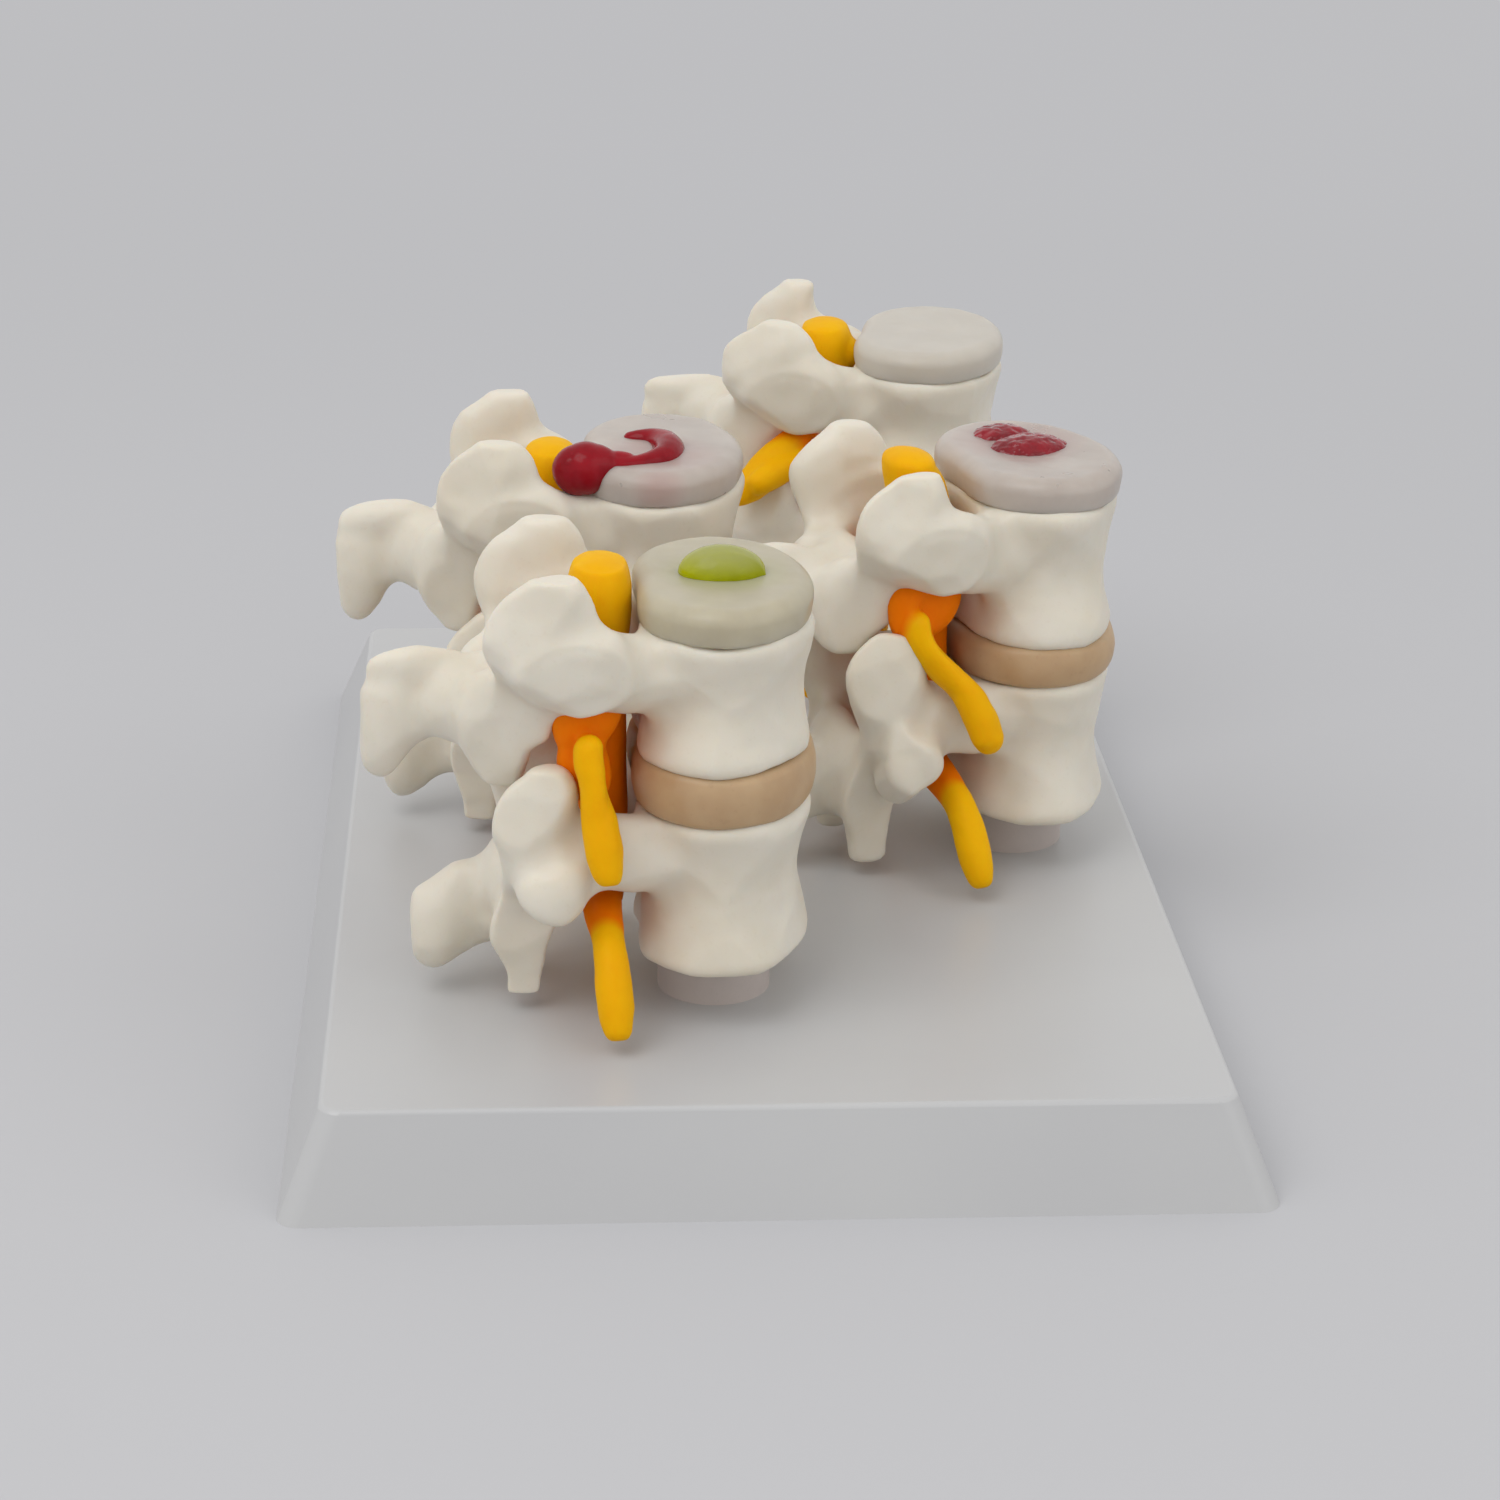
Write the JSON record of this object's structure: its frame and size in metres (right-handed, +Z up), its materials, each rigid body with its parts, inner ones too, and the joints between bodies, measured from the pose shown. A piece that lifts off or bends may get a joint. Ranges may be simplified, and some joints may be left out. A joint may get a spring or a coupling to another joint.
{
  "type": "spine anatomy model",
  "caption": "Lumbar spine teaching model: two-vertebra segments with discs, disc nuclei and nerve roots, each on a short post on a shallow tray.",
  "frame": {"origin": "centre of the tray's foot, on the surface that it stands on", "axes": "+Z up, +Y along the tray's long side away from the front segment, +X towards the front of the vertebral bodies"},
  "size_m": [0.18, 0.27, 0.1066],
  "materials": {
    "tray_plastic": "satin gloss, light grey moulding",
    "post_plastic": "satin, mid grey",
    "bone_plastic": "semi-matt ivory, softly pitted",
    "disc_tan": "soft tan, satin",
    "disc_clear": "milky translucent soft plastic",
    "nerve_yellow": "amber yellow soft plastic, satin",
    "nucleus_green": "glossy yellow-green, translucent",
    "nucleus_red": "glossy crimson",
    "screw_steel": "zinc plated"
  },
  "bodies": {
    "root": {"tray": "tray_plastic", "post_front": "post_plastic", "lower_vertebra_front": "bone_plastic", "middle_disc_front": "disc_tan", "upper_vertebra_front": "bone_plastic", "top_disc_front": "disc_clear", "nerve_cord_front": "nerve_yellow", "post_right": "post_plastic", "lower_vertebra_right": "bone_plastic", "middle_disc_right": "disc_tan", "upper_vertebra_right": "bone_plastic", "top_disc_right": "disc_clear", "nerve_cord_right": "nerve_yellow", "post_left": "post_plastic", "lower_vertebra_left": "bone_plastic", "middle_disc_left": "disc_tan", "upper_vertebra_left": "bone_plastic", "top_disc_left": "disc_clear", "nerve_cord_left": "nerve_yellow", "post_rear": "post_plastic", "lower_vertebra_rear": "bone_plastic", "middle_disc_rear": "disc_tan", "upper_vertebra_rear": "bone_plastic", "top_disc_rear": "disc_clear", "nerve_cord_rear": "nerve_yellow", "nucleus_front": "nucleus_green", "nucleus_right": "nucleus_red", "nucleus_left": "nucleus_red", "screws": "screw_steel"}
  },
  "joints": []
}
